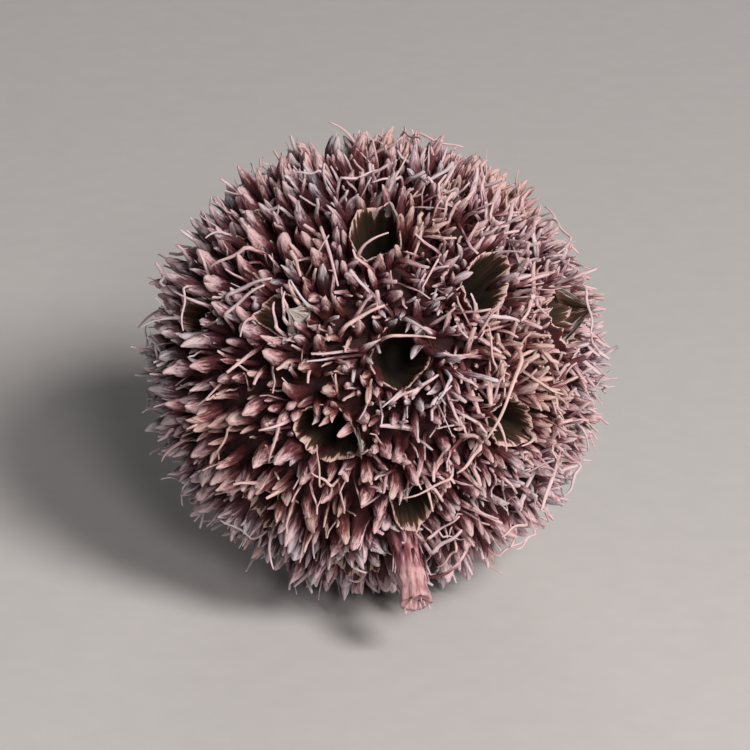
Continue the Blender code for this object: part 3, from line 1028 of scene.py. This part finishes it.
def build_spines(sizes, colours):
    """The spines: the solid's, rounded at their ends and ridged, and slimmer ones between them."""
    capsules = all_capsules()
    places = spine_places(capsules)
    vary = random.Random(SPINE_SEED + 2)
    wood = spine_wood(colours)
    paths, radii, looks = (np.array(part) for part in zip(*main_spines(sizes, capsules, places, vary)))
    strands("spines", paths, radii, 10, looks, wood, ridges=0.27, crumple=0.07, knots=0.08, seed=SPINE_SEED)
    paths, radii, looks = (np.array(part) for part in zip(*slim_spines(sizes, capsules, places, vary)))
    strands("slim_spines", paths, radii, 7, looks, wood, flat=0.75, ridges=0.18, seed=SPINE_SEED + 3)


def build_bristles(sizes, colours):
    """Fine bristles between the spines, thickest where those are slim, bent the way the place is combed."""
    capsules = all_capsules()
    draw = random.Random(BRISTLE_SEED)
    t = np.linspace(0, 1, 7)[:, None]
    paths, radii, looks = [], [], []
    for place in spiral(sizes.bristles):
        out = (place + Vector([draw.gauss(0, 0.02) for _ in range(3)])).normalized()
        coarse = coarseness(out)
        lean = Vector([draw.gauss(0, 1) for _ in range(3)])
        lean = (lean - out * lean.dot(out)).normalized() * draw.uniform(0.1, 0.7)
        reach = draw.uniform(*BRISTLE_REACH) * MM - HEAD_RADIUS
        needle = draw.random() < NEEDLE_SHARE
        if needle:
            reach = draw.uniform(*NEEDLE_REACH) * MM - HEAD_RADIUS
        push = parted(out, capsules)
        bend = combed(out) * 0.9 * (1 - 0.7 * min(1, push.length)) + lean * draw.uniform(-1.2, 1.6)
        bend = (bend + push * 1.2) * reach
        if needle:
            bend = bend * 0.3
        elif draw.random() < 0.8 * coarse:
            continue
        if any(capsule.holds(out, 0.45 * MM) for capsule in capsules):
            continue
        if out.angle(direction(*STALK_AT)) * HEAD_RADIUS < STALK_RADII[0]:
            continue
        reach *= shortened(out)
        root = CENTRE + out * (HEAD_RADIUS - 0.2 * MM)
        way = (out + lean * (0.5 + 0.6 * (1 - coarse)) + push * 0.5).normalized() * reach
        curl = out.cross(lean) * draw.gauss(0, 0.5 + 0.7 * (1 - coarse)) * reach
        path = np.array(root) + np.array(way) * t + np.array(bend) * t**2 * 0.5
        path = path + np.array(curl) * np.sin(t * math.tau * 0.8) * t
        outward = path - np.array(CENTRE)
        distance = np.linalg.norm(outward, axis=1, keepdims=True)
        path = np.array(CENTRE) + outward * np.minimum(1, BEAK_REACH / distance)
        if path[-1, 2] < 0.05 * MM:
            continue
        thick = sizes.bristle * draw.uniform(0.6, 1.35) * (1.2 - 0.3 * coarse)
        paths.append(path)
        radii.append(thick * (1 - 0.5 * t[:, 0] ** 2))
        looks.append((draw.random(), warmth(out, capsules, draw)))
    fibre = bristle_fibre(colours)
    strands("bristles", np.array(paths), np.array(radii), 5, looks, fibre, flat=0.5, seed=BRISTLE_SEED)


def thread_path(start, end, height, bow, rings):
    """A thread that rises out of the head at one direction and lies over the spines as far as another."""
    side = start.cross(end).normalized()
    points = []
    for i in range(rings):
        t = i / (rings - 1)
        out = (start.slerp(end, t) + side * bow * math.sin(math.pi * t)).normalized()
        rise = min(1.0, t / 0.3)
        lift = height * rise * rise * (3 - 2 * rise) + 0.12 * MM * math.sin(9 * t + 40 * bow)
        points.append(CENTRE + out * (HEAD_RADIUS + 0.3 * MM + lift))
    return np.array(points)


def build_threads(sizes, colours):
    """Stray threads, shed styles and split fibres, that lie across the tips."""
    draw = random.Random(THREAD_SEED)
    rings = 18
    paths = [
        thread_path(direction(*start), direction(*end), height * MM, 0.01, rings)
        for start, end, height in FRONT_THREADS
    ]
    while len(paths) < len(FRONT_THREADS) + sizes.threads:
        start = Vector([draw.gauss(0, 1) for _ in range(3)]).normalized()
        side = start.cross(Vector([draw.gauss(0, 1) for _ in range(3)])).normalized()
        end = (start + side * draw.uniform(0.13, 0.34)).normalized()
        if min(start.z, end.z) > -0.8:
            paths.append(thread_path(start, end, draw.uniform(1.3, 2.2) * MM, draw.gauss(0, 0.02), rings))
    t = np.linspace(0, 1, rings)
    stout = [1.4] * len(FRONT_THREADS) + [1.0] * sizes.threads
    radii = np.array([sizes.thread * more * draw.uniform(0.75, 1.4) * (1 - 0.5 * t**2) for more in stout])
    capsules = all_capsules()
    starts = [(Vector(path[0]) - CENTRE).normalized() for path in paths]
    looks = [(draw.uniform(0.2, 1), warmth(start, capsules, draw)) for start in starts]
    strands("threads", np.array(paths), radii, 6, looks, style_fibre(colours), seed=THREAD_SEED)


def build_stalk_stub(colours):
    """The stub of the stalk: ribbed bark, a joint halfway and a swollen broken end with a ragged edge."""
    out = direction(*STALK_AT)
    level, climb = tangents(out)
    rings, count = 20, 36
    turns = [math.tau * k / count for k in range(count)]
    ragged = [0.22 * noise.noise(Vector((math.cos(a), math.sin(a), 5.0)) * 2.2) * MM for a in turns]
    start, end = HEAD_RADIUS - ROOT_DEPTH, STALK_END
    stations = [(start + (end - start) * i / (rings - 1), 1.0, i / (rings - 1)) for i in range(rings)]
    stations += [(end - 0.1 * MM, 0.8, 1.0), (end - 0.35 * MM, 0.45, 0.9)]
    shape = bmesh.new()
    loops, along, grain = [], [], []
    for distance, share, t in stations:
        radius = np.interp(t, *STALK_PROFILE) * MM
        loop = []
        for angle, lift in zip(turns, ragged):
            rib = 1 + 0.07 * math.cos(7 * angle + 0.6 * t) + 0.04 * math.cos(12 * angle + 2 - t)
            reach = radius * share * rib
            point = CENTRE + out * (distance + (lift if t >= 0.9 else 0))
            point += (level * math.cos(angle) + climb * math.sin(angle)) * reach
            loop.append(shape.verts.new(point))
            along.append(t)
            across = (radius / MM * math.cos(angle), radius / MM * math.sin(angle))
            grain.append((*across, distance / MM / GRAIN_STRETCH))
        loops.append(loop)
    shape.faces.new(loops[0][::-1])
    for lower, upper in zip(loops, loops[1:]):
        for k in range(count):
            shape.faces.new((lower[k], lower[(k + 1) % count], upper[(k + 1) % count], upper[k]))
    shape.faces.new(loops[-1])
    mesh = finished_mesh("stalk_stub", shape)
    add_attribute(mesh, "along", "FLOAT", "value", along)
    add_attribute(mesh, "grain", "FLOAT_VECTOR", "vector", grain)
    new_piece("stalk_stub", mesh, stalk_material(colours))


def build_stalk_splinters(colours):
    """Splinters at the stalk's broken end and along its bark, and a strip torn loose on its right."""
    out = direction(*STALK_AT)
    draw = random.Random(SPLINTER_SEED)
    level, climb = tangents(out)
    rings = 6
    paths = []
    for _ in range(SPLINTERS):
        angle = draw.uniform(0, math.tau)
        aside = level * math.cos(angle) + climb * math.sin(angle)
        if draw.random() < 0.5:
            root = CENTRE + out * (STALK_END - 0.6 * MM) + aside * draw.uniform(0.3, 0.9) * MM
            tip = root + out * draw.uniform(0.6, 0.95) * MM + aside * draw.uniform(0, 0.35) * MM
        else:
            root = CENTRE + out * draw.uniform(12.2, 14.5) * MM + aside * 0.85 * MM
            tip = root + out * draw.uniform(1, 2.2) * MM + aside * draw.uniform(0.1, 0.6) * MM
        middle = (root + tip) / 2 + out * 0.2 * MM
        paths.append(curve_through((root, middle, tip), rings))
    t = np.linspace(0, 1, rings)
    radii = [draw.uniform(0.06, 0.12) * MM * (1 - 0.7 * t) for _ in paths]
    root = CENTRE + out * 15.5 * MM + level * 0.75 * MM
    middle = root + level * 2.0 * MM + out * 0.2 * MM
    tip = CENTRE + direction(27, -29) * 14.3 * MM
    paths.append(curve_through((root, middle, tip), rings))
    radii.append(0.15 * MM * (1 - 0.4 * t))
    looks = [(draw.uniform(0.4, 1), draw.uniform(0.3, 0.6)) for _ in paths]
    fibre = bristle_fibre(colours)
    strands("stalk_splinters", np.array(paths), np.array(radii), 5, looks, fibre, seed=SPLINTER_SEED)


def build_floor(colours):
    """A pale floor that curves up into a backdrop."""
    shape = bmesh.new()
    half, back, sweep, top = 2.0, 0.9, 0.35, 1.6
    profile = [(-half, 0.0), (back, 0.0)]
    for i in range(1, 13):
        angle = math.pi / 2 * i / 12
        profile.append((back + sweep * math.sin(angle), sweep * (1 - math.cos(angle))))
    profile.append((back + sweep, top))
    rows = [[shape.verts.new((x, y, z)) for x in (-half, half)] for y, z in profile]
    for lower, upper in zip(rows, rows[1:]):
        shape.faces.new((lower[0], lower[1], upper[1], upper[0]))
    mesh = finished_mesh("floor", shape)
    mesh.shade_smooth()
    mesh.materials.append(floor_material(colours))
    floor = bpy.data.objects.new("floor", mesh)
    bpy.context.scene.collection.objects.link(floor)


def build_lights():
    """A soft key light high on the right, a fill from nearly straight ahead and a weak light from behind."""
    for name, (azimuth, elevation), distance, size, power, colour in LIGHTS:
        light = bpy.data.lights.new(name, "AREA")
        light.shape = "DISK"
        light.size = size
        light.energy = power
        light.color = linear(colour)[:3]
        lamp = bpy.data.objects.new(name, light)
        way = direction(azimuth, elevation)
        lamp.location = CENTRE + way * distance
        lamp.rotation_euler = way.to_track_quat("Z", "Y").to_euler()
        bpy.context.scene.collection.objects.link(lamp)
    world = bpy.data.worlds.new("studio")
    world.use_nodes = True
    background = world.node_tree.nodes["Background"]
    background.inputs["Color"].default_value = linear(SKY[0])
    background.inputs["Strength"].default_value = SKY[1]
    bpy.context.scene.world = world
    bpy.context.scene.view_settings.view_transform = "Standard"


def build_camera():
    """A long lens, set back until the ball takes its share of the picture."""
    camera = bpy.data.objects.new("camera", bpy.data.cameras.new("camera"))
    camera.data.lens = LENS
    camera.data.sensor_width = SENSOR
    distance = TIP_RADIUS / BALL_SHARE * LENS / (SENSOR / 2)
    way = direction(0, CAMERA_ELEVATION)
    target = CENTRE + DOWN * 0.8 * MM
    camera.location = target + way * distance
    camera.rotation_euler = way.to_track_quat("Z", "Y").to_euler()
    camera.data.clip_start = 0.01
    camera.data.clip_end = 20
    bpy.context.scene.collection.objects.link(camera)
    bpy.context.scene.camera = camera


class SEEDBALL_OT_head(bpy.types.Operator):
    """Build the woody head"""

    bl_idname = "seedball.head"
    bl_label = "Head"

    def execute(self, context):
        build_head(context.scene.seedball_colours)
        return {"FINISHED"}


class SEEDBALL_OT_capsules(bpy.types.Operator):
    """Build the capsules' sockets and valves"""

    bl_idname = "seedball.capsules"
    bl_label = "Capsules"

    def execute(self, context):
        build_capsules(context.scene.seedball_sizes, context.scene.seedball_colours)
        build_valve_blades(context.scene.seedball_sizes, context.scene.seedball_colours)
        return {"FINISHED"}


class SEEDBALL_OT_beaks(bpy.types.Operator):
    """Build the beaks at the ends of the openings"""

    bl_idname = "seedball.beaks"
    bl_label = "Beaks"

    def execute(self, context):
        build_beaks(context.scene.seedball_sizes, context.scene.seedball_colours)
        return {"FINISHED"}


class SEEDBALL_OT_spines(bpy.types.Operator):
    """Build the spines"""

    bl_idname = "seedball.spines"
    bl_label = "Spines"

    def execute(self, context):
        build_spines(context.scene.seedball_sizes, context.scene.seedball_colours)
        return {"FINISHED"}


class SEEDBALL_OT_bristles(bpy.types.Operator):
    """Build the bristles between the spines"""

    bl_idname = "seedball.bristles"
    bl_label = "Bristles"

    def execute(self, context):
        build_bristles(context.scene.seedball_sizes, context.scene.seedball_colours)
        return {"FINISHED"}


class SEEDBALL_OT_threads(bpy.types.Operator):
    """Build the stray threads"""

    bl_idname = "seedball.threads"
    bl_label = "Threads"

    def execute(self, context):
        build_threads(context.scene.seedball_sizes, context.scene.seedball_colours)
        return {"FINISHED"}


class SEEDBALL_OT_stalk(bpy.types.Operator):
    """Build the stub of the stalk"""

    bl_idname = "seedball.stalk"
    bl_label = "Stalk stub"

    def execute(self, context):
        build_stalk_stub(context.scene.seedball_colours)
        build_stalk_splinters(context.scene.seedball_colours)
        return {"FINISHED"}


class SEEDBALL_OT_stage(bpy.types.Operator):
    """Build the floor, the lights and the camera"""

    bl_idname = "seedball.stage"
    bl_label = "Stage"

    def execute(self, context):
        build_floor(context.scene.seedball_colours)
        build_lights()
        build_camera()
        return {"FINISHED"}


OPERATORS = (
    SEEDBALL_OT_head,
    SEEDBALL_OT_capsules,
    SEEDBALL_OT_beaks,
    SEEDBALL_OT_spines,
    SEEDBALL_OT_bristles,
    SEEDBALL_OT_threads,
    SEEDBALL_OT_stalk,
    SEEDBALL_OT_stage,
)


class SEEDBALL_PT_panel(bpy.types.Panel):
    """The ball's sizes and colours, and what builds it"""

    bl_label = "Seed ball"
    bl_space_type = "VIEW_3D"
    bl_region_type = "UI"
    bl_category = "Seed ball"

    def draw(self, context):
        for group in (context.scene.seedball_sizes, context.scene.seedball_colours):
            for name in group.__annotations__:
                self.layout.prop(group, name)
        for operator in OPERATORS:
            self.layout.operator(operator.bl_idname)


CLASSES = (SeedBallSizes, SeedBallColours, *OPERATORS, SEEDBALL_PT_panel)


def register():
    for cls in CLASSES:
        bpy.utils.register_class(cls)
    bpy.types.Scene.seedball_sizes = bpy.props.PointerProperty(type=SeedBallSizes)
    bpy.types.Scene.seedball_colours = bpy.props.PointerProperty(type=SeedBallColours)


def unregister():
    del bpy.types.Scene.seedball_colours
    del bpy.types.Scene.seedball_sizes
    for cls in reversed(CLASSES):
        bpy.utils.unregister_class(cls)


def main():
    register()
    for operator in OPERATORS:
        group, name = operator.bl_idname.split(".")
        getattr(getattr(bpy.ops, group), name)()


if __name__ == "__main__":
    main()
